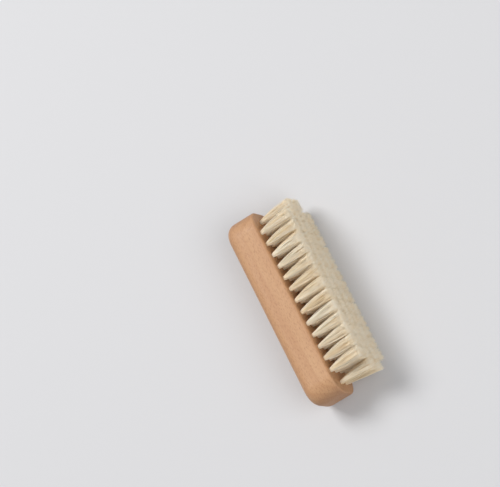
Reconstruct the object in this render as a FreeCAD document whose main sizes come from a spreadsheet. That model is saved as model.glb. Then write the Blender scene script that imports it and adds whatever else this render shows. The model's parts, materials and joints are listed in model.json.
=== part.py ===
import FreeCAD, Part
import math
import os

import Sketcher

# Nail brush lying on its side: a drilled beech block, four rows of bristle tufts and their wire staples.
# Each piece is built in the brush's own axes: x along the block, y across the rows, z along the bristles.
# z is 0 on the face that the bristles stand on. One placement then lays the whole brush down on its side.

DRIVING_SIZES = {
    # drilled field, from hole centre to hole centre
    "tuft_pitch": 6.0,
    "row_pitch": 6.0,
    "outer_row_tufts": 13,
    "inner_row_tufts": 15,
    "hole_diameter": 2.2,
    "hole_depth": 9.0,
    # wood around that field, from the last hole centres and from the points of the staples
    "end_margin": 5.5,
    "side_margin": 3.5,
    "back_wood": 4.0,
    "plan_corner_radius": 9.0,
    "palm_edge_radius": 5.0,
    "face_edge_radius": 1.0,
    # tufts: free length, and how far the trimmed tips fan out by row
    "bristle_length": 18.0,
    "row_splay": 2.0,
    "tip_gap_along": 0.2,
    "tip_gap_across": 0.6,
    # wire staples: straight leg above the hole's bottom, and in the wood below it
    "staple_wire": 0.5,
    "staple_rise": 0.75,
    "leg_bite": 3.0,
    # clearances
    "tuft_fit": 0.05,
    "staple_fit": 0.04,
    "staple_margin": 0.2,
}

# Row letter, its place in row pitches from the middle, and its count. Row a is uppermost at rest.
OUTER_STEP = 1.5
INNER_STEP = 0.5
ROWS = [
    ("a", -OUTER_STEP, "outer_row_tufts"),
    ("b", -INNER_STEP, "inner_row_tufts"),
    ("c", INNER_STEP, "inner_row_tufts"),
    ("d", OUTER_STEP, "outer_row_tufts"),
]

BLOCK_LENGTH = "(sizes.tuft_pitch * (sizes.inner_row_tufts - 1) + 2 * sizes.end_margin)"
BLOCK_WIDTH = f"(2 * {OUTER_STEP} * sizes.row_pitch + 2 * sizes.side_margin)"
BLOCK_THICKNESS = "(sizes.hole_depth + sizes.leg_bite + sizes.back_wood)"
TIP_ALONG = "(sizes.tuft_pitch - sizes.tip_gap_along)"
TIP_ACROSS = "(sizes.row_pitch + sizes.row_splay - sizes.tip_gap_across)"
ROOT_RADIUS = "(sizes.hole_diameter / 2 - sizes.tuft_fit)"
WIRE_RADIUS = "(sizes.staple_wire / 2)"
CHANNEL_RADIUS = f"({WIRE_RADIUS} + sizes.staple_fit)"
CROWN_RADIUS = f"({ROOT_RADIUS} - sizes.staple_margin - {WIRE_RADIUS})"

doc = FreeCAD.newDocument("nail_brush")
sheet = doc.addObject("Spreadsheet::Sheet", "sizes")
for line, (alias, value) in enumerate(DRIVING_SIZES.items(), start=1):
    sheet.set(f"A{line}", alias)
    sheet.set(f"B{line}", str(value))
    sheet.setAlias(f"B{line}", alias)
doc.recompute()


def size(alias):
    """The value of one driving dimension."""
    return float(getattr(sheet, alias))


def bind(thing, **expressions):
    """Ties properties to the sheet; two underscores in a name stand for a dot."""
    for path, expression in expressions.items():
        thing.setExpression(path.replace("__", "."), expression)


def origin_feature(body, role):
    """One of the body's own origin planes or axes."""
    return next(item for item in body.Origin.OriginFeatures if item.Role == role)


def lay_on_face_plane(feature, body):
    """Attaches a sketch or a block to the plane of the bristle face."""
    feature.AttachmentSupport = [(origin_feature(body, "XY_Plane"), "")]
    feature.MapMode = "FlatFace"


def round_edges(body, name, wanted, radius):
    """A fillet on the edges of the body so far whose bounding boxes are wanted."""
    base = body.Tip
    names = [f"Edge{n}" for n, edge in enumerate(base.Shape.Edges, start=1) if wanted(edge.BoundBox)]
    fillet = body.newObject("PartDesign::Fillet", name)
    fillet.Base = (base, names)
    bind(fillet, Radius=radius)
    doc.recompute()


def drill(body, name, centres, radius, level, depth):
    """Round pockets down into the block from a level below the bristle face, checked to take wood away."""
    before = body.Tip.Shape.Volume
    sketch = body.newObject("Sketcher::SketchObject", f"{name}_places")
    lay_on_face_plane(sketch, body)
    bind(sketch, AttachmentOffset__Base__z=level)
    unit_circle = Part.Circle(FreeCAD.Vector(), FreeCAD.Vector(0, 0, 1), 1.0)
    for along, across in centres:
        circle = sketch.addGeometry(unit_circle, False)
        measures = [
            (Sketcher.Constraint("DistanceX", -1, 1, circle, 3, 1.0), along),
            (Sketcher.Constraint("DistanceY", -1, 1, circle, 3, 1.0), across),
            (Sketcher.Constraint("Radius", circle, 1.0), radius),
        ]
        for constraint, expression in measures:
            index = sketch.addConstraint(constraint)
            sketch.setExpression(f"Constraints[{index}]", expression)
    pocket = body.newObject("PartDesign::Pocket", name)
    pocket.Profile = sketch
    pocket.Type = "Length"
    bind(pocket, Length=depth)
    doc.recompute()
    if not pocket.Shape.Volume < before:
        raise RuntimeError(f"{name} cuts nothing")
    return pocket


def make_handle():
    """The beech block: rounded plan and edges, with blind holes for each row's tufts and staple legs."""
    body = doc.addObject("PartDesign::Body", "handle")
    block = body.newObject("PartDesign::AdditiveBox", "block")
    lay_on_face_plane(block, body)
    bind(block, Length=BLOCK_LENGTH, Width=BLOCK_WIDTH, Height=BLOCK_THICKNESS)
    bind(
        block,
        AttachmentOffset__Base__x=f"-{BLOCK_LENGTH} / 2",
        AttachmentOffset__Base__y=f"-{BLOCK_WIDTH} / 2",
        AttachmentOffset__Base__z=f"-{BLOCK_THICKNESS}",
    )
    doc.recompute()
    middle = block.Shape.BoundBox.Center.z
    round_edges(body, "plan_corners", lambda box: box.ZMin < middle < box.ZMax, "sizes.plan_corner_radius")
    round_edges(body, "palm_edges", lambda box: box.ZMax < middle, "sizes.palm_edge_radius")
    round_edges(body, "bristle_face_edges", lambda box: box.ZMin > middle, "sizes.face_edge_radius")
    for letter, step, count in ROWS:
        row_length = f"sizes.tuft_pitch * (sizes.{count} - 1)"
        first = f"-{row_length} / 2"
        across = f"{step} * sizes.row_pitch"
        hole_radius = "sizes.hole_diameter / 2"
        hole = drill(body, f"tuft_hole_{letter}", [(first, across)], hole_radius, "0", "sizes.hole_depth")
        leg_centres = [(first, f"{across} {sign} {CROWN_RADIUS}") for sign in "+-"]
        leg_depth = "sizes.leg_bite + sizes.staple_fit"
        bottom = "-sizes.hole_depth"
        legs = drill(body, f"leg_holes_{letter}", leg_centres, CHANNEL_RADIUS, bottom, leg_depth)
        pattern = body.newObject("PartDesign::LinearPattern", f"row_{letter}")
        pattern.Originals = [hole, legs]
        pattern.Direction = (origin_feature(body, "X_Axis"), [""])
        pattern.Mode = "Extent"
        bind(pattern, Length=row_length, Occurrences=f"sizes.{count}")
        body.Tip = pattern
        doc.recompute()
    return body


def make_bundle(letter, step):
    """The bristles of one row's tuft: a round root in the hole, then a flare up to the trimmed tip."""
    root = doc.addObject("Part::Cylinder", f"root_{letter}")
    bind(root, Radius=ROOT_RADIUS, Height="sizes.hole_depth", Placement__Base__z="-sizes.hole_depth")
    mouth = doc.addObject("Part::Circle", f"mouth_{letter}")
    bind(mouth, Radius=ROOT_RADIUS)
    tip = doc.addObject("Part::Ellipse", f"tip_{letter}")
    bind(
        tip,
        MajorRadius=f"max({TIP_ALONG}; {TIP_ACROSS}) / 2",
        MinorRadius=f"min({TIP_ALONG}; {TIP_ACROSS}) / 2",
        Placement__Base__y=f"{step} * sizes.row_splay",
        Placement__Base__z="sizes.bristle_length",
    )
    # The ellipse's long axis lies across the block where the tips are wider that way.
    long_axis = f"{TIP_ACROSS} > {TIP_ALONG} ? 90 : 0"
    for outline in (mouth, tip):
        bind(outline, Placement__Rotation__Angle=long_axis)
    flare = doc.addObject("Part::Loft", f"flare_{letter}")
    flare.Sections = [mouth, tip]
    flare.Solid = True
    flare.Ruled = True
    bundle = doc.addObject("Part::Fuse", f"bundle_{letter}")
    bundle.Base = root
    bundle.Tool = flare
    return bundle


def make_wire_loop(name, wire_radius, leg_end):
    """A round crown and two legs across the block; the legs end at leg_end below the hole's bottom."""
    crown = doc.addObject("Part::Torus", f"{name}_crown")
    crown.Placement = FreeCAD.Placement(FreeCAD.Vector(), FreeCAD.Rotation(FreeCAD.Vector(1, 1, 1), 120))
    crown.Angle3 = 180
    bind(crown, Radius1=CROWN_RADIUS, Radius2=wire_radius)
    bind(crown, Placement__Base__z="sizes.staple_rise - sizes.hole_depth")
    loop = [crown]
    for side, sign in (("upper", "-"), ("lower", "+")):
        leg = doc.addObject("Part::Cylinder", f"{name}_{side}_leg")
        bind(leg, Radius=wire_radius, Height=f"sizes.staple_rise + {leg_end}")
        bind(leg, Placement__Base__y=f"{sign}{CROWN_RADIUS}")
        bind(leg, Placement__Base__z=f"-sizes.hole_depth - {leg_end}")
        loop.append(leg)
    return loop


def lying_placement():
    """Turns the brush down onto its rounded palm edge and the tips of row d, centred on the origin."""
    palm_radius = size("palm_edge_radius")
    edge_y = OUTER_STEP * size("row_pitch") + size("side_margin") - palm_radius
    edge_z = size("hole_depth") + size("leg_bite") + size("back_wood") - palm_radius
    tip_across = size("row_pitch") + size("row_splay") - size("tip_gap_across")
    tip_side = OUTER_STEP * (size("row_pitch") + size("row_splay")) + tip_across / 2
    rise = tip_side - edge_y
    run = size("bristle_length") + edge_z
    tangent = math.atan2(rise, run) - math.asin(palm_radius / math.hypot(rise, run))
    # Where the tips are no wider than the block, its flat side carries it instead.
    tilt = max(0.0, tangent)
    height = edge_y * math.cos(tilt) + edge_z * math.sin(tilt) + palm_radius
    back_reach = -edge_y * math.sin(tilt) - edge_z * math.cos(tilt) - palm_radius
    tip_reach = tip_side * math.sin(tilt) + size("bristle_length") * math.cos(tilt)
    base = FreeCAD.Vector(0, -(back_reach + tip_reach) / 2, height)
    return FreeCAD.Placement(base, FreeCAD.Rotation(FreeCAD.Vector(1, 0, 0), math.degrees(tilt) - 90))


lying = lying_placement()
handle = make_handle()
handle.Placement = lying
pieces = {"handle": handle}

staple_channel = doc.addObject("Part::MultiFuse", "staple_channel")
staple_channel.Shapes = make_wire_loop("channel", CHANNEL_RADIUS, "sizes.staple_fit")
staple_wires = make_wire_loop("staple", WIRE_RADIUS, "sizes.leg_bite")

staples = []
for letter, step, count in ROWS:
    bundle = make_bundle(letter, step)
    tufts_in_row = round(size(count))
    for number in range(1, tufts_in_row + 1):
        along = (number - (tufts_in_row + 1) / 2) * size("tuft_pitch")
        mouth_centre = FreeCAD.Vector(along, step * size("row_pitch"), 0)
        standing = FreeCAD.Placement(mouth_centre, FreeCAD.Rotation())
        tuft = doc.addObject("Part::Cut", f"tuft_{letter}_{number:02d}")
        tuft.Base = bundle
        tuft.Tool = staple_channel
        tuft.Placement = lying.multiply(standing)
        pieces[tuft.Label] = tuft
        staple = doc.addObject("Part::MultiFuse", f"staple_{letter}_{number:02d}")
        staple.Shapes = staple_wires
        staple.Placement = lying.multiply(standing)
        staples.append(staple)

anchor_staples = doc.addObject("Part::Compound", "anchor_staples")
anchor_staples.Links = staples
pieces["anchor_staples"] = anchor_staples
doc.recompute()

# Nothing is written unless every object is sound.
for thing in doc.Objects:
    if "Invalid" in thing.State or "Error" in thing.State:
        raise RuntimeError(f"{thing.Label} failed to build")
for node, piece in pieces.items():
    if piece.Shape.isNull() or not piece.Shape.isValid():
        raise RuntimeError(f"{node} has no sound shape")

os.makedirs("parts", exist_ok=True)
for node, piece in pieces.items():
    piece.Shape.exportStep(f"parts/{node}.step")
print(len(pieces), "nodes,", sum(len(piece.Shape.Solids) for piece in pieces.values()), "solids")
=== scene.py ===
# %% [markdown]
# # A nail brush, lying on its side
# A block of oiled beech carries four rows of natural bristle. Each tuft is a bundle of hairs, folded in
# half over a small wire staple and driven into a drilled hole. The solids come from a CAD part, and this
# lesson dresses them: the block keeps its CAD shape and gets solid wood, and each plain CAD tuft makes
# way for real, separate bristles.

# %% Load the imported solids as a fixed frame
import json
import math

import bpy
import numpy as np
from mathutils import Matrix, Vector


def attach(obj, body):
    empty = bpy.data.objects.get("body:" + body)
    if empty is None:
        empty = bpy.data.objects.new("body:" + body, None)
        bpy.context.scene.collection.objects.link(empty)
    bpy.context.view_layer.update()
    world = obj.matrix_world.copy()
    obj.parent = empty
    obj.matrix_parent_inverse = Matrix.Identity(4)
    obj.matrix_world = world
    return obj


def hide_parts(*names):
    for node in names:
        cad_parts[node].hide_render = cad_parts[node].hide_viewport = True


MM = 0.001

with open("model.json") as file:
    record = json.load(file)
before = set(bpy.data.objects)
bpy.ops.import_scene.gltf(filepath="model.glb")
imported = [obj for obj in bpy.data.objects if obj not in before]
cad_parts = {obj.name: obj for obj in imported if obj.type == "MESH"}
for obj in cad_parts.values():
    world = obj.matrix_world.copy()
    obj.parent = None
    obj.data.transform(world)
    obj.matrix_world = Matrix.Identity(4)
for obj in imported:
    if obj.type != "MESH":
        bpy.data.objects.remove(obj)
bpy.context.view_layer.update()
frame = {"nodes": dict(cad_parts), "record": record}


# %% [markdown]
# ## The brush's own axes
# Grain and bristles follow the brush and not the table, and the brush lies tilted: it rests on its
# rounded palm edge and on the tips of its lowest row. The record says where the flat back is and which
# way it faces, and that is enough for a matrix: x along the block, y across the rows, z along the
# bristles, with 0 on the bristle face. In these axes the rest of the lesson can work in plain
# millimetres.

# %% Axes from the flat back
BLOCK_THICKNESS = 16.0
flat_back = next(mount for mount in frame["record"]["mounts"] if mount["name"] == "back_face")
along_bristles = -Vector(flat_back["axis"]).normalized()
along_block = Vector((1.0, 0.0, 0.0))
across_rows = along_bristles.cross(along_block)
face_centre = Vector(flat_back["pos_m"]) + along_bristles * BLOCK_THICKNESS * MM
turn = Matrix((along_block, across_rows, along_bristles)).transposed().to_4x4()
scene_from_brush = Matrix.Translation(face_centre) @ turn @ Matrix.Scale(MM, 4)
brush_from_scene = scene_from_brush.inverted()
print("tilt of the bristles:", round(math.degrees(math.asin(along_bristles.z)), 2), "degrees")

# %% [markdown]
# ### Rows of holes
# The holes are drilled in four rows that stand in line with each other, 6 mm apart both ways. The
# block's round corners leave room for fewer tufts in the two outer rows. How many there are is read from
# the names of the CAD nodes, so that the bristles always agree with the solids.

# %% Mouths of the holes
TUFT_PITCH, ROW_PITCH = 6.0, 6.0
ROW_STEPS = {"a": -1.5, "b": -0.5, "c": 0.5, "d": 1.5}
TUFTS_IN_ROW = {row: sum(name.startswith(f"tuft_{row}_") for name in frame["nodes"]) for row in ROW_STEPS}


def hole_mouth(row, number):
    """The middle of one hole's mouth in brush axes; the tufts of a row are numbered from 1."""
    from_middle = number - (TUFTS_IN_ROW[row] + 1) / 2
    return np.array([from_middle * TUFT_PITCH, ROW_STEPS[row] * ROW_PITCH, 0.0])


print("tufts in each row:", TUFTS_IN_ROW)

# %% [markdown]
# ## The camera
# A product photograph taken from high above with a long lens. Its place was worked out from the straight
# edges in the picture and from the even spacing of the tuft roots. In the picture the brush is rolled
# back a little, so that a strip of its bristle face shows between the roots. Here it lies as it falls,
# so the camera, and with it the lamp, goes round the brush instead. The camera is set by where it looks,
# two angles and a roll in degrees, and a distance.

# %% Camera from target, angles and roll
TARGET = Vector((-0.04080, -0.01415, 0.0))
AZIMUTH, ELEVATION, ROLL = 36.472, 70.496, -64.759
DISTANCE = 1.3922
LENS, SENSOR = 214.9, 36.0
IMAGE_SIZE = (500, 487)


def direction(azimuth, elevation):
    """A unit vector from the object towards something at these angles in degrees."""
    azimuth, elevation = math.radians(azimuth), math.radians(elevation)
    level = math.cos(elevation)
    return Vector((level * math.cos(azimuth), level * math.sin(azimuth), math.sin(elevation)))


towards = direction(AZIMUTH, ELEVATION)
level_right = Vector((0.0, 0.0, 1.0)).cross(towards).normalized()
level_up = towards.cross(level_right)
right = math.cos(math.radians(ROLL)) * level_right + math.sin(math.radians(ROLL)) * level_up
up = towards.cross(right)

lens = bpy.data.cameras.new("camera")
lens.lens = LENS
lens.sensor_width = SENSOR
camera = bpy.data.objects.new("camera", lens)
camera_turn = Matrix((right, up, towards)).transposed().to_4x4()
camera.matrix_world = Matrix.Translation(TARGET + towards * DISTANCE) @ camera_turn
bpy.context.scene.collection.objects.link(camera)
bpy.context.scene.camera = camera


def pixel_of(point_mm):
    """Where a point in brush axes falls in the picture."""
    seen = camera.matrix_world.inverted() @ (scene_from_brush @ Vector(point_mm))
    scale = LENS / SENSOR * max(IMAGE_SIZE) / -seen.z
    return round(IMAGE_SIZE[0] / 2 + seen.x * scale, 1), round(IMAGE_SIZE[1] / 2 - seen.y * scale, 1)


middle_tuft = (TUFTS_IN_ROW["a"] + 1) // 2
print("root of the middle tuft of row a is at pixel", pixel_of(hole_mouth("a", middle_tuft)))

# %% [markdown]
# ## One function for nodes, one for colours
# Every material below is a node tree. One small function adds a node, sets its properties and fills its
# inputs: a value is typed into the socket, and another node's output is linked to it. Colours are
# written as sRGB hex, as a colour picker shows them, and Blender's shaders want linear light, so one
# function converts them.

# %% Helpers for node trees
MIX_FACTOR, MIX_A, MIX_B, MIX_RESULT = 0, 6, 7, 2
BLACK, WHITE = (0.0, 0.0, 0.0, 1.0), (1.0, 1.0, 1.0, 1.0)


def linear(hex_colour):
    """An sRGB hex colour as linear red, green, blue and alpha."""
    channels = [int(hex_colour[i:i + 2], 16) / 255 for i in (1, 3, 5)]
    return [c / 12.92 if c <= 0.04045 else ((c + 0.055) / 1.055) ** 2.4 for c in channels] + [1.0]


def add_node(tree, kind, inputs=None, **settings):
    """Adds one node with its properties; inputs holds values to type in, or outputs to link."""
    node = tree.nodes.new(kind)
    for name, value in settings.items():
        setattr(node, name, value)
    for name, value in (inputs or {}).items():
        if isinstance(value, bpy.types.NodeSocket):
            tree.links.new(value, node.inputs[name])
        else:
            node.inputs[name].default_value = value
    return node


def new_material(name):
    """A material, its node tree, and the surface shader that is all the tree has so far."""
    material = bpy.data.materials.new(name)
    material.use_nodes = True
    tree = material.node_tree
    tree.nodes.clear()
    shader = add_node(tree, "ShaderNodeBsdfPrincipled")
    add_node(tree, "ShaderNodeOutputMaterial", {"Surface": shader.outputs["BSDF"]})
    return material, tree, shader


print("mid grey #808080 is", round(linear("#808080")[0], 3), "in linear light")

# %% [markdown]
# ## Floor and light
# The table is a plain sheet of matt paper, so large that its edges are out of sight. One square face is
# enough.

# %% Floor
FLOOR_HALF = 4.0
PAPER_ROUGHNESS, PAPER_SPECULAR = 0.9, 0.1
floor_material, tree, shader = new_material("matt_paper")
shader.inputs["Base Color"].default_value = linear("#D6D6D8")
shader.inputs["Roughness"].default_value = PAPER_ROUGHNESS
shader.inputs["Specular IOR Level"].default_value = PAPER_SPECULAR
corners = [(FLOOR_HALF * x, FLOOR_HALF * y, 0.0) for x, y in ((-1, -1), (1, -1), (1, 1), (-1, 1))]
floor_mesh = bpy.data.meshes.new("floor")
floor_mesh.from_pydata(corners, [], [(0, 1, 2, 3)])
floor_mesh.materials.append(floor_material)
floor = bpy.data.objects.new("floor", floor_mesh)
bpy.context.scene.collection.objects.link(floor)
print("floor:", 2 * FLOOR_HALF, "m square")

# %% [markdown]
# ### Lamps
# The key lamp stands to the left of the picture, about 54 degrees up. A larger and weaker lamp on the
# far side lifts the shade there, and an even sky, which comes next, fills the rest. The shares of the
# three were matched to the light and dark sides of a tuft in the photograph. Together they are little
# more than 1, so a colour comes out about as it is written. A lamp's watts for a wanted share follow
# from the square of its distance and from how steeply its light falls on the floor.

# %% Lamps
LAMP_DISTANCE = 1.6
LAMPS = {
    # share of the light, azimuth and elevation in degrees, side of the square in metres
    "key_softbox": (0.53, 213.2, 54.5, 0.65),
    "fill_softbox": (0.30, 50.0, 50.0, 1.2),
}
for name, (share, azimuth, elevation, lamp_side) in LAMPS.items():
    lamp = bpy.data.lights.new(name, "AREA")
    lamp.shape = "SQUARE"
    lamp.size = lamp_side
    lamp.energy = share * math.pi ** 2 * LAMP_DISTANCE ** 2 / math.sin(math.radians(elevation))
    softbox = bpy.data.objects.new(name, lamp)
    softbox.location = direction(azimuth, elevation) * LAMP_DISTANCE
    softbox.rotation_euler = softbox.location.to_track_quat("Z", "Y").to_euler()
    bpy.context.scene.collection.objects.link(softbox)
    print(name, round(lamp.energy, 1), "W")

# %% [markdown]
# ### Sky
# The sky lights the scene evenly but is looked at as the floor's colour, so it makes a quiet backdrop.
# Light that falls between pale hairs bounces many times before it comes out again. Blender stops after
# four bounces, which leaves the tufts too dark inside, so a few more are allowed.

# %% Sky and bounces
SKY_SHARE = 0.33
DIFFUSE_BOUNCES = 12
bpy.context.scene.cycles.diffuse_bounces = DIFFUSE_BOUNCES
world = bpy.data.worlds.new("studio_fill")
world.use_nodes = True
bpy.context.scene.world = world
tree = world.node_tree
tree.nodes.clear()
rays = add_node(tree, "ShaderNodeLightPath")
looked_at = rays.outputs["Is Camera Ray"]
for kind in ("Is Glossy Ray", "Is Transmission Ray"):
    either = add_node(tree, "ShaderNodeMath", {0: looked_at, 1: rays.outputs[kind]}, operation="MAXIMUM")
    looked_at = either.outputs[0]
fill = add_node(tree, "ShaderNodeBackground", {"Color": WHITE, "Strength": SKY_SHARE})
backdrop = add_node(tree, "ShaderNodeBackground", {"Color": linear("#DCDCDE"), "Strength": 1.0})
sky = add_node(tree, "ShaderNodeMixShader", {0: looked_at, 1: fill.outputs[0], 2: backdrop.outputs[0]})
add_node(tree, "ShaderNodeOutputWorld", {"Surface": sky.outputs[0]})
bpy.context.scene.view_settings.view_transform = "Standard"
print("light bounces between matt surfaces:", bpy.context.scene.cycles.diffuse_bounces)

# %% [markdown]
# ## Beech: one solid texture for all faces
# Beech is a pale, pinkish brown hardwood. Its surface was planed, drilled, sanded fine and oiled: even
# and satin, with no varnish film. Three things give it away: soft growth rings, thousands of short dark
# flecks where the wood's rays are cut, and straight fibres along the block. An image wrapped round the
# block would break at its edges. A solid texture doesn't, because each face simply cuts through the same
# wood. So the wood is measured in the log: r is the distance from the tree's centre line, the pith, and
# t goes round it.

# %% Where the block sat in the log
PITH = (0.0, 62.0, -34.0)


def brush_place(tree):
    """Adds texture coordinates in brush axes, in millimetres."""
    place = add_node(tree, "ShaderNodeTexCoord")
    shift, rotation, scale = brush_from_scene.decompose()
    change = {"Location": shift, "Rotation": rotation.to_euler(), "Scale": scale}
    return add_node(tree, "ShaderNodeMapping", {"Vector": place.outputs["Object"], **change}).outputs[0]


beech, tree, shader = new_material("beech_sanded_and_oiled")
brush_mm = brush_place(tree)
from_pith = add_node(tree, "ShaderNodeVectorMath", {0: brush_mm, 1: PITH}, operation="SUBTRACT")
split = add_node(tree, "ShaderNodeSeparateXYZ", {0: from_pith.outputs[0]})
cross_cut = add_node(tree, "ShaderNodeCombineXYZ", {"Y": split.outputs["Y"], "Z": split.outputs["Z"]})
pith_radius = add_node(tree, "ShaderNodeVectorMath", {0: cross_cut.outputs[0]}, operation="LENGTH")
angle = add_node(tree, "ShaderNodeMath", {0: split.outputs["Z"], 1: split.outputs["Y"]}, operation="ARCTAN2")
log_radius = math.hypot(PITH[1], PITH[2] + BLOCK_THICKNESS / 2)
round_log = add_node(tree, "ShaderNodeMath", {0: angle.outputs[0], 1: log_radius}, operation="MULTIPLY")
log_mm = add_node(
    tree,
    "ShaderNodeCombineXYZ",
    {"X": split.outputs["X"], "Y": pith_radius.outputs["Value"], "Z": round_log.outputs[0]},
)
print("the block grew", round(log_radius), "mm from the centre of the tree")

# %% [markdown]
# ### Growth rings
# A ring here is about 2.6 mm wide. It darkens slowly towards its late wood and then jumps back. The
# fraction of r divided by the ring width gives that saw tooth, and a slow noise makes the rings wander.
# All sizes of patterns are in millimetres.

# %% Growth rings
BLOCK_WIDTH = 25.0
RING_WIDTH = 2.6
RING_WANDER = 6.4
WANDER_CELL = (90.0, 22.0, 30.0)
LATE_WOOD_FROM, LATE_WOOD_FULL = 0.3, 0.9
wander_place = add_node(
    tree,
    "ShaderNodeVectorMath",
    {0: log_mm.outputs[0], 1: WANDER_CELL},
    operation="DIVIDE",
)
wander = add_node(
    tree,
    "ShaderNodeTexNoise",
    {"Vector": wander_place.outputs[0], "Scale": 1.0, "Detail": 2.0},
)
wandered = add_node(
    tree,
    "ShaderNodeMath",
    {0: wander.outputs["Fac"], 1: RING_WANDER, 2: pith_radius.outputs["Value"]},
    operation="MULTIPLY_ADD",
)
ring_count = add_node(tree, "ShaderNodeMath", {0: wandered.outputs[0], 1: RING_WIDTH}, operation="DIVIDE")
in_ring = add_node(tree, "ShaderNodeMath", {0: ring_count.outputs[0]}, operation="FRACT")
late_wood = add_node(tree, "ShaderNodeValToRGB", {"Fac": in_ring.outputs[0]})
early_stop, late_stop = late_wood.color_ramp.elements
early_stop.position, early_stop.color = LATE_WOOD_FROM, BLACK
late_stop.position, late_stop.color = LATE_WOOD_FULL, WHITE
late_wood.color_ramp.elements.new(1.0).color = BLACK
print("rings across the block's width:", round(BLOCK_WIDTH / RING_WIDTH, 1))

# %% [markdown]
# ### Ray flecks
# A ray is a thin plate of cells that runs outwards from the tree's centre: some 2 mm high along the
# grain, 0.3 mm thick, and many millimetres long. Cells of Voronoi noise, stretched to those three sizes,
# are such plates. A face that cuts across them shows short dark dashes, a face along them shows wider
# flakes, and the ends show fine lines.

# %% Ray flecks
RAY_CELL = (2.4, 14.0, 0.42)
RAY_CORE, RAY_EDGE = 0.16, 0.36
ray_place = add_node(tree, "ShaderNodeVectorMath", {0: log_mm.outputs[0], 1: RAY_CELL}, operation="DIVIDE")
ray_cells = add_node(tree, "ShaderNodeTexVoronoi", {"Vector": ray_place.outputs[0], "Scale": 1.0})
ray_reach = {"From Min": RAY_CORE, "From Max": RAY_EDGE, "To Min": 1.0, "To Max": 0.0}
ray_flecks = add_node(
    tree,
    "ShaderNodeMapRange",
    {"Value": ray_cells.outputs["Distance"], **ray_reach},
    interpolation_type="SMOOTHSTEP",
)
fleck_length, fleck_width = (2 * RAY_EDGE * RAY_CELL[axis] for axis in (0, 2))
print("a fleck is about", round(fleck_length, 1), "x", round(fleck_width, 2), "mm")

# %% [markdown]
# ### Clouds, fibres and pores
# Slow clouds of colour go through the whole block, and long fibres give faint streaks along it. Beech's
# pores are only some 0.07 mm across, too fine to show in the render, so they are drawn about twice as
# wide, as thin dark ticks along the grain. All three are the same noise, stretched to other sizes.

# %% Clouds, fibres and pores
GRAIN = {
    # sizes along, across and through the block, then the noise's detail and roughness
    "clouds": ((40.0, 9.0, 9.0), 1.0, 0.5),
    "fibres": ((26.0, 0.7, 0.7), 3.0, 0.6),
    "pores": ((1.5, 0.16, 0.16), 0.0, 0.5),
}
grain = {}
for name, (size, detail, roughness) in GRAIN.items():
    cells = add_node(tree, "ShaderNodeVectorMath", {0: brush_mm, 1: size}, operation="DIVIDE")
    look = {"Scale": 1.0, "Detail": detail, "Roughness": roughness}
    grain[name] = add_node(tree, "ShaderNodeTexNoise", {"Vector": cells.outputs[0], **look}).outputs["Fac"]
    print(name, "are", size[1], "mm wide and", size[0], "mm long")

# %% [markdown]
# ### Where each pattern shows
# A noise is an even grey haze until it is cut. Streaks show where the fibres are dense, pores only where
# their noise peaks. Cut ends drink more oil, so faces that look along the block are darker.

# %% Streaks, open pores and end grain
STREAK_FROM, STREAK_FULL = 0.35, 0.75
PORE_FROM, PORE_FULL = 0.60, 0.72
END_FROM, END_FULL = 0.55, 0.98
streaks = add_node(
    tree,
    "ShaderNodeMapRange",
    {"Value": grain["fibres"], "From Min": STREAK_FROM, "From Max": STREAK_FULL},
)
open_pores = add_node(
    tree,
    "ShaderNodeMapRange",
    {"Value": grain["pores"], "From Min": PORE_FROM, "From Max": PORE_FULL},
    interpolation_type="SMOOTHSTEP",
)
surface = add_node(tree, "ShaderNodeTexCoord")
facing = add_node(tree, "ShaderNodeSeparateXYZ", {0: surface.outputs["Normal"]})
end_facing = add_node(tree, "ShaderNodeMath", {0: facing.outputs["X"]}, operation="ABSOLUTE")
end_grain = add_node(
    tree,
    "ShaderNodeMapRange",
    {"Value": end_facing.outputs[0], "From Min": END_FROM, "From Max": END_FULL},
    interpolation_type="SMOOTHSTEP",
)
print("end grain starts", round(math.degrees(math.acos(END_FROM))), "degrees from square to the grain")

# %% [markdown]
# ### Colour of the wood
# The patterns are laid over each other from the largest to the smallest, each with its own brown and
# with a share that says how much of it shows at most.

# %% Colour of the wood
LAYERS = (
    # pattern, share, colour
    (grain["clouds"], 1.0, "#BE8F68"),
    (late_wood.outputs["Color"], 0.28, "#AA754E"),
    (streaks.outputs[0], 0.40, "#B4835F"),
    (ray_flecks.outputs[0], 0.42, "#95613F"),
    (open_pores.outputs[0], 0.30, "#7E5237"),
    (end_grain.outputs[0], 0.45, "#9A6B49"),
)
wood_colour = linear("#CBA076")
for pattern, share, brown in LAYERS:
    amount = add_node(tree, "ShaderNodeMath", {0: pattern, 1: share}, operation="MULTIPLY")
    layers = {MIX_FACTOR: amount.outputs[0], MIX_A: wood_colour, MIX_B: linear(brown)}
    wood_colour = add_node(tree, "ShaderNodeMix", layers, data_type="RGBA").outputs[MIX_RESULT]
tree.links.new(wood_colour, shader.inputs["Base Color"])
print("layers of colour:", len(LAYERS))

# %% [markdown]
# ### Finish of the wood
# Oiled wood has an IOR of about 1.5 and a satin surface. The fibres make it a little uneven to the
# light, in roughness and, with the open pores, in a relief of a few hundredths of a millimetre.

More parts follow.
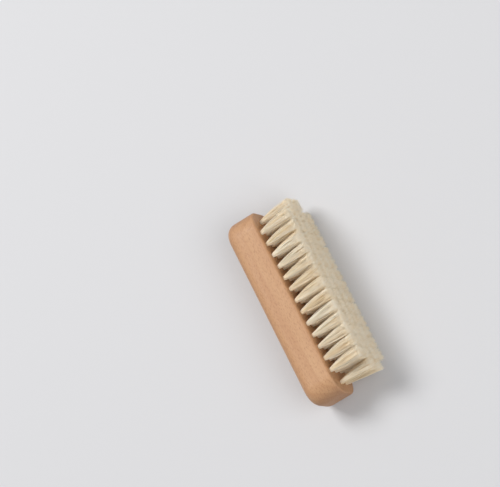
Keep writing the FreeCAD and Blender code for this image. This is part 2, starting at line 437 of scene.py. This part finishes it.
# %% Satin, relief and the block
OILED_WOOD_IOR = 1.5
FIBRE_LOW, FIBRE_HIGH = 0.3, 0.7
SMOOTHEST, ROUGHEST = 0.46, 0.60
PORE_DIP = 0.8
RELIEF_STRENGTH, RELIEF_DEPTH = 0.35, 0.06
satin_range = {"From Min": FIBRE_LOW, "From Max": FIBRE_HIGH, "To Min": SMOOTHEST, "To Max": ROUGHEST}
satin = add_node(tree, "ShaderNodeMapRange", {"Value": grain["fibres"], **satin_range})
dips = add_node(
    tree,
    "ShaderNodeMath",
    {0: open_pores.outputs[0], 1: -PORE_DIP, 2: grain["fibres"]},
    operation="MULTIPLY_ADD",
)
relief = add_node(
    tree,
    "ShaderNodeBump",
    {"Height": dips.outputs[0], "Strength": RELIEF_STRENGTH, "Distance": RELIEF_DEPTH * MM},
)
tree.links.new(satin.outputs[0], shader.inputs["Roughness"])
tree.links.new(relief.outputs[0], shader.inputs["Normal"])
shader.inputs["IOR"].default_value = OILED_WOOD_IOR
for slot in frame["nodes"]["handle"].material_slots:
    slot.material = beech
print("wood nodes:", len(tree.nodes))

# %% [markdown]
# ## Staple wire
# The staples are soft steel wire, drawn through a die and cut, and they sit at the bottom of the holes.
# Drawing leaves fine lines along the wire. They would be hundredths of a millimetre wide, so they are
# drawn at 0.2 mm along the legs, as a change of roughness. A metal keeps its default IOR.

# %% Drawn wire on the staples
WIRE_LINE = (0.2, 0.2, 2.5)
LINE_LOW, LINE_HIGH = 0.3, 0.7
POLISHED, SCORED = 0.25, 0.45
wire, tree, shader = new_material("drawn_steel_wire")
line_place = add_node(tree, "ShaderNodeVectorMath", {0: brush_place(tree), 1: WIRE_LINE}, operation="DIVIDE")
lines = add_node(tree, "ShaderNodeTexNoise", {"Vector": line_place.outputs[0], "Scale": 1.0, "Detail": 2.0})
drawn_range = {"From Min": LINE_LOW, "From Max": LINE_HIGH, "To Min": POLISHED, "To Max": SCORED}
drawn = add_node(tree, "ShaderNodeMapRange", {"Value": lines.outputs["Fac"], **drawn_range})
tree.links.new(drawn.outputs[0], shader.inputs["Roughness"])
shader.inputs["Base Color"].default_value = linear("#C3C3C5")
shader.inputs["Metallic"].default_value = 1.0
for slot in frame["nodes"]["anchor_staples"].material_slots:
    slot.material = wire
print("lines on the wire:", WIRE_LINE[0], "mm wide and", WIRE_LINE[2], "mm long")

# %% [markdown]
# ## Bleached bristle
# Pig bristle is keratin, as hair and horn are: pale and straw coloured after bleaching, slightly see-
# through, with a soft gloss. Hairs differ, so each has its own shade, which the mesh stores as an
# attribute for the material to read. The cut tips are the palest. Keratin's IOR is about 1.55.

# %% Bristle material
PALE_TIP_FROM, PALE_TIP_SHARE = 0.75, 0.35
HAIR_ROUGHNESS = 0.4
KERATIN_IOR = 1.55
bristle, tree, shader = new_material("bleached_pig_bristle")
shade = add_node(tree, "ShaderNodeAttribute", attribute_name="straw")
height = add_node(tree, "ShaderNodeAttribute", attribute_name="height")
hair_colour = add_node(tree, "ShaderNodeValToRGB", {"Fac": shade.outputs["Fac"]})
palest_stop, darkest_stop = hair_colour.color_ramp.elements
palest_stop.color = linear("#FFF8E6")
darkest_stop.color = linear("#C9B272")
hair_colour.color_ramp.elements.new(0.5).color = linear("#FCEAC8")
tip_range = {"From Min": PALE_TIP_FROM, "From Max": 1.0, "To Max": PALE_TIP_SHARE}
tip_share = add_node(tree, "ShaderNodeMapRange", {"Value": height.outputs["Fac"], **tip_range})
paler_tips = add_node(
    tree,
    "ShaderNodeMix",
    {MIX_FACTOR: tip_share.outputs[0], MIX_A: hair_colour.outputs["Color"], MIX_B: linear("#FFF3DF")},
    data_type="RGBA",
)
tree.links.new(paler_tips.outputs[MIX_RESULT], shader.inputs["Base Color"])
shader.inputs["Roughness"].default_value = HAIR_ROUGHNESS
shader.inputs["IOR"].default_value = KERATIN_IOR
print("shades of hair:", len(hair_colour.color_ramp.elements), "stops on the ramp")

# %% [markdown]
# ## How one tuft is made
# Blender has a hair system, but its strands are curves, which a model made of meshes can't keep. A tuft has
# only 130 hairs, so each is a thin mesh tube here. A real hair in a tuft is one long U: from one tip
# down into the hole, under the staple, and up to the other tip. The tubes do the same. All tufts share
# one net of faces, so it is built once, and each tuft only gets its own points.

# %% The net of faces that all tufts share
HAIRS = 130
SIDES = 4
FREE_STEPS = np.array([0.0, 0.16, 0.36, 0.58, 0.80, 1.0])
HOLE_DEPTHS = np.array([-3.0, -7.3, -8.0])
RINGS = 2 * (len(FREE_STEPS) + len(HOLE_DEPTHS)) + 1

ring = np.arange(RINGS - 1)[:, None]
side = np.arange(SIDES)[None, :]
corner = ring * SIDES + side
beside = ring * SIDES + (side + 1) % SIDES
walls = np.stack([corner, beside, beside + SIDES, corner + SIDES], axis=-1).reshape(-1, 4)
first_end = np.arange(SIDES)[::-1]
last_end = (RINGS - 1) * SIDES + np.arange(SIDES)
one_hair = np.vstack([walls, first_end, last_end])
faces = (one_hair[None] + (np.arange(HAIRS) * RINGS * SIDES)[:, None, None]).reshape(-1, 4)

net = bpy.data.meshes.new("tuft_net")
net.from_pydata(np.zeros((HAIRS * RINGS * SIDES, 3)), [], faces.tolist())
is_wall = np.tile(np.arange(len(one_hair)) < len(walls), HAIRS)
net.polygons.foreach_set("use_smooth", is_wall)
net.materials.append(bristle)
for name in ("straw", "height"):
    net.attributes.new(name, "FLOAT", "POINT")
print("faces in one tuft:", len(net.polygons))

# %% [markdown]
# ### A map for baking
# Baking turns node colours into images, and for that each face needs its own place on a map.
# An automatic unwrap of thousands of thin faces wastes most of the image. Here each hair gets one
# column, with its walls side by side from tip to tip and its two cut ends in the corners.

# %% One column of the map for each hair
UV_COLUMN_FILL = 0.8
END_FROM_U, END_TO_U, END_V = 0.1, 0.3, 0.01
wall_u = np.stack([side, side + 1, side + 1, side], axis=-1) / SIDES + 0 * ring[:, :, None]
wall_v = np.stack([ring, ring, ring + 1, ring + 1], axis=-1) / (RINGS - 1) + 0 * side[:, :, None]
end_u = np.array([[END_FROM_U, END_TO_U, END_TO_U, END_FROM_U]] * 2)
end_v = np.array([[0.0, 0.0, END_V, END_V], [1.0 - END_V, 1.0 - END_V, 1.0, 1.0]])
hair_u = np.vstack([wall_u.reshape(-1, 4), end_u])
hair_v = np.vstack([wall_v.reshape(-1, 4), end_v])
uv = np.tile(np.stack([hair_u, hair_v], axis=-1), (HAIRS, 1, 1, 1))
columns = np.arange(HAIRS)[:, None, None]
uv[..., 0] = (columns + 0.5 + UV_COLUMN_FILL * (uv[..., 0] - 0.5)) / HAIRS
net.uv_layers.new(name="OFBake").data.foreach_set("uv", uv.astype(np.float32).ravel())
print("a column is", round(UV_COLUMN_FILL / HAIRS, 4), "of the map wide")

# %% [markdown]
# ### Paths above the hole
# In the hole the hairs stand packed and straight. Above it they fan out to an oval that nearly meets the
# next tufts. There the neighbours press it a little square, and the two halves of the fold part into two
# lobes. The middle of a tuft stays denser than its edge. Hairs cling together in small locks towards
# their tips, which is what draws streaks on a tuft. Chance bends each hair, so that hairs cross and hide
# the dark between them, and a few stray. A hair's place in the tuft is u across the fold and v along it,
# from 0 in the middle to 1 at the edge. All lengths are in millimetres.

# %% Paths above the hole
HAIR_RADIUS = 0.09
ROOT_RADIUS = 1.05 - HAIR_RADIUS
BRISTLE_LENGTH = 18.0
TIP_HALF = np.array([2.9, 3.7])
ROW_SPLAY = 2.0
TIP_SQUARENESS = 3.0
TIP_CROWDING = 1.3
FLARE_FULLNESS = 1.22
LOBE_SHIFT = 0.225
LOCKS_PER_HALF = 7
LOCK_PULL, LOCK_PULL_RANGE, LOCK_LATENESS = 0.18, (0.4, 1.4), 1.5
BEND = 0.34
TIP_SCATTER, SCATTER_LATENESS = 0.34, 2
STRAY_SHARE, STRAY_SCATTER = 0.04, 0.5
TRIM_UNEVEN = 0.12


def half_of_tuft(chance, u, v, sign, step):
    """Centre lines of the free ends on one side of the fold, mouth to tip, and each hair's lock."""
    square_reach = (u ** TIP_SQUARENESS + np.abs(v) ** TIP_SQUARENESS) ** (1 / TIP_SQUARENESS)
    pressed = np.hypot(u, v) ** TIP_CROWDING / square_reach
    from_fold = u + LOBE_SHIFT * (1 - np.sqrt(1 - v ** 2))
    tip = np.stack([sign * from_fold, v], axis=-1) * TIP_HALF * pressed[:, None]
    leaders = chance.choice(HAIRS, LOCKS_PER_HALF, replace=False)
    apart = np.linalg.norm(tip[:, None] - tip[leaders][None], axis=-1)
    lock = apart.argmin(axis=1)
    pull = LOCK_PULL * chance.uniform(*LOCK_PULL_RANGE, HAIRS)[:, None]
    stray = chance.uniform(size=HAIRS) < STRAY_SHARE
    scatter = np.where(stray, STRAY_SCATTER, TIP_SCATTER)[:, None] * chance.normal(size=(HAIRS, 2))
    bend = BEND * chance.normal(size=(HAIRS, 2))
    root = np.stack([sign * u, v], axis=-1) * ROOT_RADIUS
    share = FREE_STEPS[None, :, None]
    flare = 1 - (1 - share) ** FLARE_FULLNESS
    to_lock = (tip[leaders][lock] - tip) * pull
    path = root[:, None] + (tip - root)[:, None] * flare + to_lock[:, None] * share ** LOCK_LATENESS
    path = path + scatter[:, None] * share ** SCATTER_LATENESS + bend[:, None] * np.sin(math.pi * share)
    path = path + np.array([0.0, step * ROW_SPLAY]) * share
    trim = BRISTLE_LENGTH - TRIM_UNEVEN * np.abs(chance.normal(size=HAIRS))
    rise = trim[:, None] * FREE_STEPS[None]
    return np.concatenate([path, rise[..., None]], axis=-1), lock


print("free hair:", BRISTLE_LENGTH, "mm long and", 2 * HAIR_RADIUS, "mm thick")

# %% [markdown]
# ### Paths inside the hole
# At the bottom of the hole the bundle passes through the arch of the staple, half of it on each side of
# the wire, and turns back below it. So the path gets narrower step by step, keeps clear of the wire, and
# ends in a fold in which the outer hairs lie deepest. The places of the hairs in a tuft follow the
# golden ratio, which spreads any number of points evenly over a disc, as the seeds of a sunflower are.

# %% Paths inside the hole and whole hairs
GOLDEN = (math.sqrt(5) - 1) / 2
OVAL_ENDS = 0.995
CLEAR_OF_WIRE = np.array([0.0, 0.36, 0.33])
SPREAD_FROM_WIRE = np.array([ROOT_RADIUS, 0.60, 0.45])
SPREAD_IN_ARCH = np.array([ROOT_RADIUS, 0.55, 0.30])
FOLD_DEPTH, FOLD_THICKNESS, FOLD_SPREAD = -8.25, 0.5, 0.27


def half_in_hole(u, v, sign):
    """The same hairs inside the hole, from its mouth down past one side of the staple."""
    from_wire = sign * (CLEAR_OF_WIRE + SPREAD_FROM_WIRE * u[:, None])
    in_arch = SPREAD_IN_ARCH * v[:, None]
    depth = np.repeat(HOLE_DEPTHS[None], HAIRS, axis=0)
    return np.stack([from_wire, in_arch, depth], axis=-1)


def hair_paths(chance, step):
    """Centre lines of a tuft's hairs, tip to tip, with 0 at the hole's mouth, and both halves' locks."""
    number = np.arange(HAIRS)
    reach = np.sqrt((number + 0.5) / HAIRS)
    angle = math.pi * ((number * GOLDEN) % 1 - 0.5)
    u, v = reach * np.cos(angle), reach * np.sin(angle) * OVAL_ENDS
    near, near_lock = half_of_tuft(chance, u, v, -1, step)
    far, far_lock = half_of_tuft(chance, u, v, 1, step)
    fold = np.stack([0 * u, FOLD_SPREAD * v, FOLD_DEPTH - FOLD_THICKNESS * u], axis=-1)[:, None]
    down, back_up = half_in_hole(u, v, -1), half_in_hole(u, v, 1)[:, ::-1]
    return np.concatenate([near[:, ::-1], down, fold, back_up, far], axis=1), near_lock, far_lock


trial_path = hair_paths(np.random.default_rng(0), ROW_STEPS["d"])[0]
print("one tuft's tips span", np.ptp(trial_path[:, [0, -1]], axis=(0, 1)).round(2), "mm")

# %% [markdown]
# ### From paths to tubes
# Each point of a path gets a small square of corners, square to the way the hair runs, and smooth
# shading makes the square read as round. Bristle is just under 0.2 mm thick and thins towards the tip.
# Down in the hole the tubes are drawn thinner than real hairs, so that all of them fit through the arch
# of the staple. Where a hair would dip into the table, the table pushes it up, as it does to the lowest
# row of the real brush.

# %% Tubes along the paths
TIP_TAPER = 0.88
HOLE_TAPER, FOLD_TAPER = [0.95, 0.8, 0.6], [0.55]
half_taper = np.concatenate([np.linspace(TIP_TAPER, 1.0, len(FREE_STEPS)), HOLE_TAPER, FOLD_TAPER])
radius_along = HAIR_RADIUS * np.concatenate([half_taper, half_taper[-2::-1]])
to_scene = np.array(scene_from_brush)


def tube_corners(path):
    """Corners of the tubes round all paths of a tuft, as they stand in the scene, in metres."""
    along = np.gradient(path, axis=1)
    along /= np.linalg.norm(along, axis=-1, keepdims=True)
    out = np.cross(along, (0.0, 1.0, 0.0))
    out /= np.linalg.norm(out, axis=-1, keepdims=True)
    over = np.cross(along, out)
    turn_by = 2 * math.pi * (np.arange(SIDES) + 0.5) / SIDES
    radius = radius_along[None, :, None, None]
    square = out[:, :, None] * np.cos(turn_by)[:, None] + over[:, :, None] * np.sin(turn_by)[:, None]
    corners = path[:, :, None] + radius * square
    corners = corners.reshape(-1, 3) @ to_scene[:3, :3].T + to_scene[:3, 3]
    corners[:, 2] = np.maximum(corners[:, 2], 0.0)
    return corners


print("corners in one tuft:", len(tube_corners(trial_path)))

# %% [markdown]
# ### Shades of the hairs
# A lock is darker or paler as a whole, and each hair differs a little from its lock. The two ends of a
# hair can lie in different locks, so its shade changes along it. The material also wants to know how
# high on a hair each point is, which is the same for all tufts.

# %% Shades and heights of the hairs
LOCK_SHADE, OWN_SHADE = 0.5, 0.16
along_hair = np.linspace(0, 1, RINGS)
height_along = np.concatenate([FREE_STEPS[::-1], 0 * HOLE_DEPTHS, [0.0], 0 * HOLE_DEPTHS, FREE_STEPS])
heights = np.tile(np.repeat(height_along, SIDES), HAIRS).astype(np.float32)


def straw_shades(chance, near_lock, far_lock):
    """The shade of each corner of a tuft, from 0 for the palest hair to 1 for the darkest."""
    lock_shade = chance.uniform(0.0, LOCK_SHADE, (2, LOCKS_PER_HALF))
    own_shade = chance.normal(0.0, OWN_SHADE, (2, HAIRS))
    shades = np.clip(np.stack([lock_shade[0][near_lock], lock_shade[1][far_lock]]) + own_shade, 0, 1)
    straw = shades[0][:, None] * (1 - along_hair) + shades[1][:, None] * along_hair
    return np.repeat(straw, SIDES, axis=1).astype(np.float32).ravel()


print("corners with a height:", len(heights))

# %% [markdown]
# ### Fifty-six tufts
# Row by row, each CAD tuft gets a bundle that rides on the same body and stands for it. Each has its own
# seed, so the tufts differ as real ones do but come out the same every time.

# %% Build the tufts
SEEDS_PER_ROW = 1000
made = []
for row, step in ROW_STEPS.items():
    for number in range(1, TUFTS_IN_ROW[row] + 1):
        node = f"tuft_{row}_{number:02d}"
        chance = np.random.default_rng(SEEDS_PER_ROW * ord(row) + number)
        path, near_lock, far_lock = hair_paths(chance, step)
        corners = tube_corners(path + hole_mouth(row, number))
        mesh = net.copy()
        mesh.name = f"{node}_bristles"
        mesh.vertices.foreach_set("co", corners.astype(np.float32).ravel())
        mesh.attributes["straw"].data.foreach_set("value", straw_shades(chance, near_lock, far_lock))
        mesh.attributes["height"].data.foreach_set("value", heights)
        mesh.update()
        bundle = bpy.data.objects.new(f"{node}_bristles", mesh)
        bpy.context.scene.collection.objects.link(bundle)
        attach(bundle, "root")
        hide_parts(node)
        made.append(bundle)
bpy.data.meshes.remove(net)
print("tufts:", len(made), " hairs:", len(made) * HAIRS)
